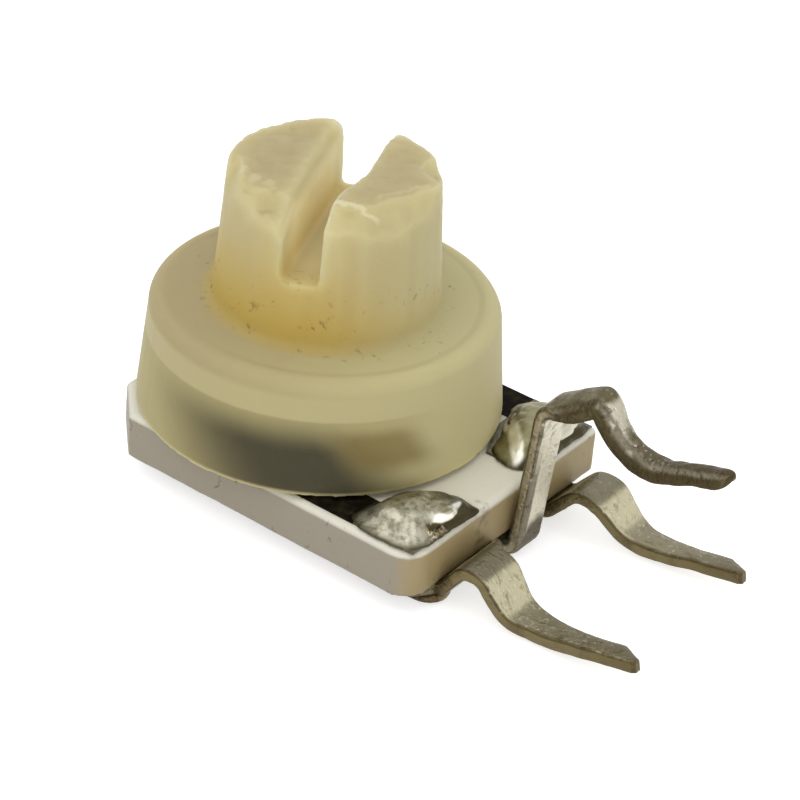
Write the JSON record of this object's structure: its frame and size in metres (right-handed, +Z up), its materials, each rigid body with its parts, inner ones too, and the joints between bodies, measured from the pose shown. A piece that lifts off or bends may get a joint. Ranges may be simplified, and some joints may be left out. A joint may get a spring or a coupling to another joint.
{
  "type": "trimmer potentiometer",
  "caption": "Open preset potentiometer: a hollow slotted rotor turns on a ceramic plate with a carbon track, over riveted bent metal terminals.",
  "frame": {"origin": "where the rotor's axis meets the underside of the ceramic plate", "axes": "+Z up the shaft, +X towards the three terminals, +Y towards the terminal on the unrounded corner's side"},
  "size_m": [0.0171, 0.0098, 0.0091],
  "materials": {
    "ceramic": "unglazed pressed steatite, satin, pinkish off-white with dark marks",
    "carbon": "fired carbon film, dark brown, dull",
    "silver_film": "fired silver film, dull",
    "tinned_brass": "tin plated sheet brass, mottled, semi-bright",
    "soldered_brass": "sheet brass under rough old solder",
    "eyelet_brass": "worn brass, tarnished",
    "solder": "tin-lead solder, smooth and bright, tarnished at its rim",
    "phosphor_bronze": "phosphor bronze spring sheet",
    "nylon": "translucent natural nylon, yellowed, with amber stains"
  },
  "bodies": {
    "base": {"ceramic_base": "ceramic", "carbon_track": "carbon", "silver_film_front": "silver_film", "silver_film_back": "silver_film", "terminal_front": "tinned_brass", "terminal_back": "tinned_brass", "terminal_wiper": "soldered_brass", "eyelet_front": "eyelet_brass", "eyelet_back": "eyelet_brass", "solder_front": "solder", "solder_back": "solder", "centre_eyelet": "eyelet_brass"},
    "rotor": {"rotor": "nylon", "contact_spring": "phosphor_bronze"}
  },
  "joints": [
    {"name": "rotor_turn", "type": "hinge", "parent": "base", "child": "rotor", "pos_m": [0, 0, 0], "axis": [0, 0, 1], "range_deg": [-240, 15]}
  ]
}
